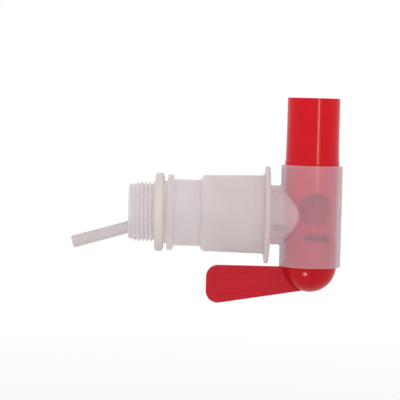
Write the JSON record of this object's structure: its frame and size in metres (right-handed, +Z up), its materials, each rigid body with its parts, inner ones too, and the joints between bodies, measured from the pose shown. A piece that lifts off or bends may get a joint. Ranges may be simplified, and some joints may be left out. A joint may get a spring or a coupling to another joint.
{
  "type": "jerrycan tap",
  "caption": "Plug tap with a threaded, swivelling inlet adaptor: a hollow plug carries the spout and a paddle handle, and a bent breather tube lets air into the container.",
  "frame": {"origin": "on the inlet thread's axis, in the plane where the washer seals on the container", "axes": "+X along the inlet away from the container, +Z up the spout as the picture shows it, -Y towards the side with the liquid port when shut"},
  "size_m": [0.1198, 0.0428, 0.0914],
  "materials": {
    "natural_pe": "undyed polyethylene, milky and half see-through, with a waxy satin surface",
    "washer_foam": "soft cream ring, dull",
    "tube_pe": "drawn undyed tube, milky",
    "red_plastic": "bright red moulding, glossy"
  },
  "bodies": {
    "adaptor": {"thread_adaptor": "natural_pe", "sealing_washer": "washer_foam"},
    "tap": {"tap_body": "natural_pe", "air_insert": "natural_pe", "breather_tube": "tube_pe"},
    "plug": {"plug": "red_plastic"}
  },
  "joints": [
    {"name": "body_swivel", "type": "hinge", "parent": "adaptor", "child": "tap", "pos_m": [0.036, 0, 0], "axis": [1, 0, 0], "continuous": true},
    {"name": "plug_turn", "type": "hinge", "parent": "tap", "child": "plug", "pos_m": [0.0688, 0, 0], "axis": [0, 0, -1], "range_deg": [0, 90]}
  ]
}
